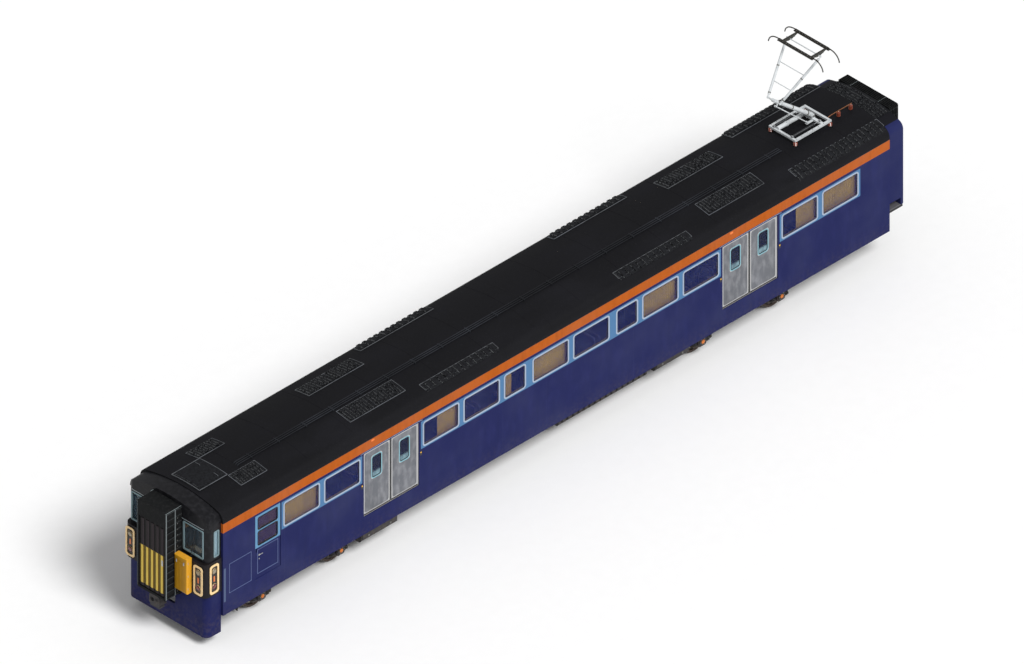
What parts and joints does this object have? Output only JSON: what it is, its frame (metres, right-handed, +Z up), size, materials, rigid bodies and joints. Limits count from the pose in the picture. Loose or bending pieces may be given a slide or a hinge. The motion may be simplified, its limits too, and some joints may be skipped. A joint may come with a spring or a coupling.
{
  "type": "electric multiple unit driving car",
  "caption": "Railway driving car with a gangwayed cab, sliding double doors, two bogies and a raised single-arm pantograph.",
  "frame": {"origin": "on the centre line midway between the two gangway faces, on the plane that the wheel flanges touch", "axes": "+X forward to the cab, +Y to the car's left side, +Z up"},
  "size_m": [23.795, 2.752, 6.2058],
  "materials": {
    "body_blue": "gloss paint",
    "body_navy": "gloss paint",
    "stripe_orange": "gloss paint",
    "roof_black": "matt paint",
    "mask_black": "satin paint",
    "door_grey": "satin paint",
    "frame_pale": "satin paint",
    "glass": "tinted",
    "lamp_cream": "gloss",
    "yellow": "gloss paint",
    "gangway_black": "matt",
    "lining_cream": "satin",
    "seat_fabric": "moquette",
    "desk_grey": "matt",
    "floor": "matt",
    "underframe": "matt paint",
    "panto_grey": "satin paint",
    "insulator": "glazed",
    "carbon": "matt",
    "case_dark": "matt paint",
    "cast_dark": "rough",
    "bogie_black": "matt paint",
    "wheel_steel": "worn tread"
  },
  "bodies": {
    "carbody": {"underframe": "underframe", "bolsters": "underframe", "cross_bearers": "underframe", "windscreen_frames": "frame_pale", "seat_pedestals": "desk_grey", "draught_screens": "lining_cream", "luggage_racks": "panto_grey", "air_reservoirs": "case_dark", "solebars": "body_blue", "floor": "floor", "side_left": "body_blue", "side_right": "body_blue", "cantrails": "stripe_orange", "roof": "roof_black", "cab_skirt": "body_navy", "lamp_band": "mask_black", "windscreen_mask": "mask_black", "windscreens": "glass", "lamp_clusters": "lamp_cream", "jumper_box": "yellow", "front_gangway": "gangway_black", "cab_partition": "lining_cream", "rear_end": "body_blue", "rear_gangway": "gangway_black", "window_frames": "frame_pale", "window_panes": "glass", "seats": "seat_fabric", "cab_fittings": "desk_grey", "roof_vents": "roof_black", "underfloor_cases": "case_dark", "transformer": "case_dark", "couplers": "cast_dark", "panto_base": "panto_grey", "panto_insulators": "insulator"},
    "door_1_left_fore": {"door_1_left_fore": "door_grey"},
    "door_1_left_aft": {"door_1_left_aft": "door_grey"},
    "door_1_right_fore": {"door_1_right_fore": "door_grey"},
    "door_1_right_aft": {"door_1_right_aft": "door_grey"},
    "door_2_left_fore": {"door_2_left_fore": "door_grey"},
    "door_2_left_aft": {"door_2_left_aft": "door_grey"},
    "door_2_right_fore": {"door_2_right_fore": "door_grey"},
    "door_2_right_aft": {"door_2_right_aft": "door_grey"},
    "cab_door_left": {"cab_door_left": "body_blue"},
    "cab_door_right": {"cab_door_right": "body_blue"},
    "gangway_door": {"gangway_door": "yellow"},
    "bogie_front": {"bogie_front_frame": "bogie_black", "bogie_front_motors": "case_dark"},
    "wheelset_front_1": {"wheelset_front_1": "wheel_steel"},
    "wheelset_front_2": {"wheelset_front_2": "wheel_steel"},
    "bogie_rear": {"bogie_rear_frame": "bogie_black", "bogie_rear_motors": "case_dark"},
    "wheelset_rear_1": {"wheelset_rear_1": "wheel_steel"},
    "wheelset_rear_2": {"wheelset_rear_2": "wheel_steel"},
    "panto_lower": {"panto_lower_arm": "panto_grey"},
    "panto_rod": {"panto_thrust_rod": "panto_grey"},
    "panto_upper": {"panto_upper_arm": "panto_grey"},
    "panto_head": {"panto_head": "carbon"}
  },
  "joints": [
    {"name": "door_1_left_fore_slide", "type": "slide", "parent": "carbody", "child": "door_1_left_fore", "axis": [1, 0, 0], "range_m": [0, 0.84]},
    {"name": "door_1_left_aft_slide", "type": "slide", "parent": "carbody", "child": "door_1_left_aft", "axis": [-1, 0, 0], "range_m": [0, 0.84]},
    {"name": "door_1_right_fore_slide", "type": "slide", "parent": "carbody", "child": "door_1_right_fore", "axis": [1, 0, 0], "range_m": [0, 0.84]},
    {"name": "door_1_right_aft_slide", "type": "slide", "parent": "carbody", "child": "door_1_right_aft", "axis": [-1, 0, 0], "range_m": [0, 0.84]},
    {"name": "door_2_left_fore_slide", "type": "slide", "parent": "carbody", "child": "door_2_left_fore", "axis": [1, 0, 0], "range_m": [0, 0.84]},
    {"name": "door_2_left_aft_slide", "type": "slide", "parent": "carbody", "child": "door_2_left_aft", "axis": [-1, 0, 0], "range_m": [0, 0.84]},
    {"name": "door_2_right_fore_slide", "type": "slide", "parent": "carbody", "child": "door_2_right_fore", "axis": [1, 0, 0], "range_m": [0, 0.84]},
    {"name": "door_2_right_aft_slide", "type": "slide", "parent": "carbody", "child": "door_2_right_aft", "axis": [-1, 0, 0], "range_m": [0, 0.84]},
    {"name": "cab_door_left_hinge", "type": "hinge", "parent": "carbody", "child": "cab_door_left", "pos_m": [9.0205, 1.321, 1.5], "axis": [0, 0, -1], "range_deg": [0, 88]},
    {"name": "cab_door_right_hinge", "type": "hinge", "parent": "carbody", "child": "cab_door_right", "pos_m": [9.0205, -1.321, 1.5], "axis": [0, 0, 1], "range_deg": [0, 88]},
    {"name": "gangway_door_hinge", "type": "hinge", "parent": "carbody", "child": "gangway_door", "pos_m": [11.8485, -0.394, 1.5], "axis": [0, 0, 1], "range_deg": [0, 88]},
    {"name": "bogie_front_yaw", "type": "hinge", "parent": "carbody", "child": "bogie_front", "pos_m": [8.0475, 0, 0.448], "axis": [0, 0, 1], "range_deg": [-4, 4]},
    {"name": "wheelset_front_1_spin", "type": "hinge", "parent": "bogie_front", "child": "wheelset_front_1", "pos_m": [9.3475, 0, 0.448], "axis": [0, 1, 0], "continuous": true},
    {"name": "wheelset_front_2_spin", "type": "hinge", "parent": "bogie_front", "child": "wheelset_front_2", "pos_m": [6.7475, 0, 0.448], "axis": [0, 1, 0], "continuous": true},
    {"name": "bogie_rear_yaw", "type": "hinge", "parent": "carbody", "child": "bogie_rear", "pos_m": [-6.4925, 0, 0.448], "axis": [0, 0, 1], "range_deg": [-4, 4]},
    {"name": "wheelset_rear_1_spin", "type": "hinge", "parent": "bogie_rear", "child": "wheelset_rear_1", "pos_m": [-5.1925, 0, 0.448], "axis": [0, 1, 0], "continuous": true},
    {"name": "wheelset_rear_2_spin", "type": "hinge", "parent": "bogie_rear", "child": "wheelset_rear_2", "pos_m": [-7.7925, 0, 0.448], "axis": [0, 1, 0], "continuous": true},
    {"name": "pantograph_raise", "type": "hinge", "parent": "carbody", "child": "panto_lower", "pos_m": [-9.8625, 0, 4.05], "axis": [0, -1, 0], "range_deg": [-35.4, 20.6]},
    {"name": "pantograph_knee", "type": "hinge", "parent": "panto_lower", "child": "panto_upper", "pos_m": [-8.64545, 0, 5.0497], "axis": [0, -1, 0], "range_deg": [-44, 75]},
    {"name": "pantograph_head", "type": "hinge", "parent": "panto_upper", "child": "panto_head", "pos_m": [-9.63485, 0, 6.09597], "axis": [0, -1, 0], "range_deg": [-39.5, 23.5]},
    {"name": "pantograph_rod", "type": "hinge", "parent": "carbody", "child": "panto_rod", "pos_m": [-9.6425, 0.09, 3.98], "axis": [0, -1, 0], "range_deg": [-39, 23]}
  ],
  "couplings": [
    {"joint": "door_1_left_aft_slide", "follows": "door_1_left_fore_slide", "ratio": 1},
    {"joint": "door_1_right_aft_slide", "follows": "door_1_right_fore_slide", "ratio": 1},
    {"joint": "door_2_left_aft_slide", "follows": "door_2_left_fore_slide", "ratio": 1},
    {"joint": "door_2_right_aft_slide", "follows": "door_2_right_fore_slide", "ratio": 1},
    {"joint": "pantograph_knee", "follows": "pantograph_raise", "ratio": -2.1},
    {"joint": "pantograph_head", "follows": "pantograph_raise", "ratio": 1.1},
    {"joint": "pantograph_rod", "follows": "pantograph_raise", "ratio": 1.08}
  ]
}
